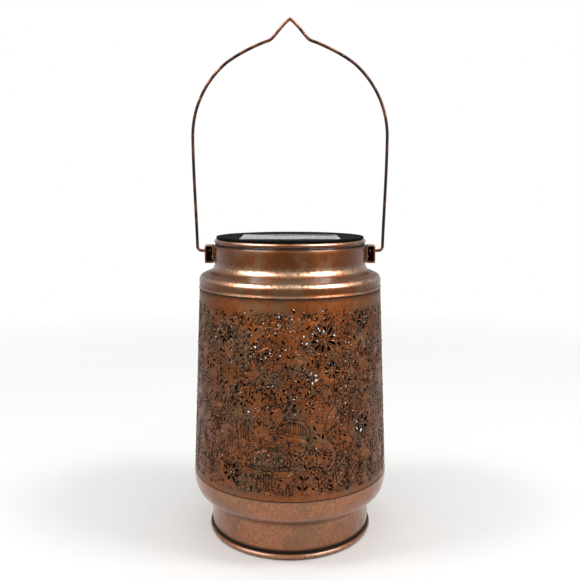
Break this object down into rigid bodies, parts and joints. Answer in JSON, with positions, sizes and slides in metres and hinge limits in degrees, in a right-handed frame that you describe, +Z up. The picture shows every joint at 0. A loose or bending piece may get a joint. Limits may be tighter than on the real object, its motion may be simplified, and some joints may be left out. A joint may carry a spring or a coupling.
{
  "type": "solar garden lantern",
  "caption": "Pierced antique-copper garden lantern with a wire bail and a lift-out solar lamp unit in its neck; lights up by itself after dark.",
  "frame": {"origin": "centre of the foot ring on the ground plane", "axes": "+Z up along the lantern's axis, +X from the left lug to the right lug, -Y to the front, the side the picture shows"},
  "size_m": [0.1262, 0.1262, 0.3261],
  "materials": {
    "antique_copper": "antique copper plate over sheet steel, rubbed bright on the high places and dark in the recesses",
    "dark_wire": "dark bronzed steel wire",
    "black_gloss": "glossy black moulded plastic",
    "black_matte": "satin black moulded plastic",
    "panel_backing": "black laminate board",
    "solar_silicon": "dark blue silicon strip with fine silver fingers",
    "panel_glaze": "clear resin, glossy",
    "bright_steel": "nickel-plated steel",
    "cell_sleeve": "green plastic-sleeved metal can",
    "circuit_green": "green solder mask",
    "chip_black": "matt black epoxy",
    "coil_green": "green lacquer",
    "led_epoxy": "clear epoxy",
    "red_insulation": "red insulated lead",
    "black_insulation": "black insulated lead"
  },
  "bodies": {
    "lantern": {"foot_ring": "antique_copper", "base_bowl": "antique_copper", "pierced_sleeve": "antique_copper", "shoulder_collar": "antique_copper", "lug_left": "antique_copper", "lug_right": "antique_copper", "lug_rivet_left": "antique_copper", "lug_rivet_right": "antique_copper"},
    "bail": {"bail_wire": "dark_wire"},
    "lamp_unit": {"lid_cover": "black_gloss", "panel_board": "panel_backing", "solar_cell_1": "solar_silicon", "solar_cell_2": "solar_silicon", "solar_cell_3": "solar_silicon", "solar_cell_4": "solar_silicon", "panel_glaze": "panel_glaze", "lamp_housing": "black_matte", "housing_screw_1": "bright_steel", "housing_screw_2": "bright_steel", "housing_screw_3": "bright_steel", "battery_door": "black_matte", "door_screw_left": "bright_steel", "door_screw_right": "bright_steel", "battery_cell": "cell_sleeve", "battery_spring": "bright_steel", "spring_plate": "bright_steel", "contact_plate": "bright_steel", "circuit_board": "circuit_green", "driver_chip": "chip_black", "choke_coil": "coil_green", "led_lamp": "led_epoxy", "switch_body": "chip_black", "panel_lead_red": "red_insulation", "panel_lead_black": "black_insulation", "battery_lead_red": "red_insulation", "battery_lead_black": "black_insulation"},
    "switch_knob": {"switch_knob": "black_matte"}
  },
  "joints": [
    {"name": "bail_swing", "type": "hinge", "parent": "lantern", "child": "bail", "pos_m": [0, 0, 0.183], "axis": [1, 0, 0], "range_deg": [-145, 145]},
    {"name": "lid_lift", "type": "slide", "parent": "lantern", "child": "lamp_unit", "axis": [0, 0, 1], "range_m": [0, 0.06]},
    {"name": "switch_slide", "type": "slide", "parent": "lamp_unit", "child": "switch_knob", "axis": [1, 0, 0], "range_m": [0, 0.0022]}
  ]
}
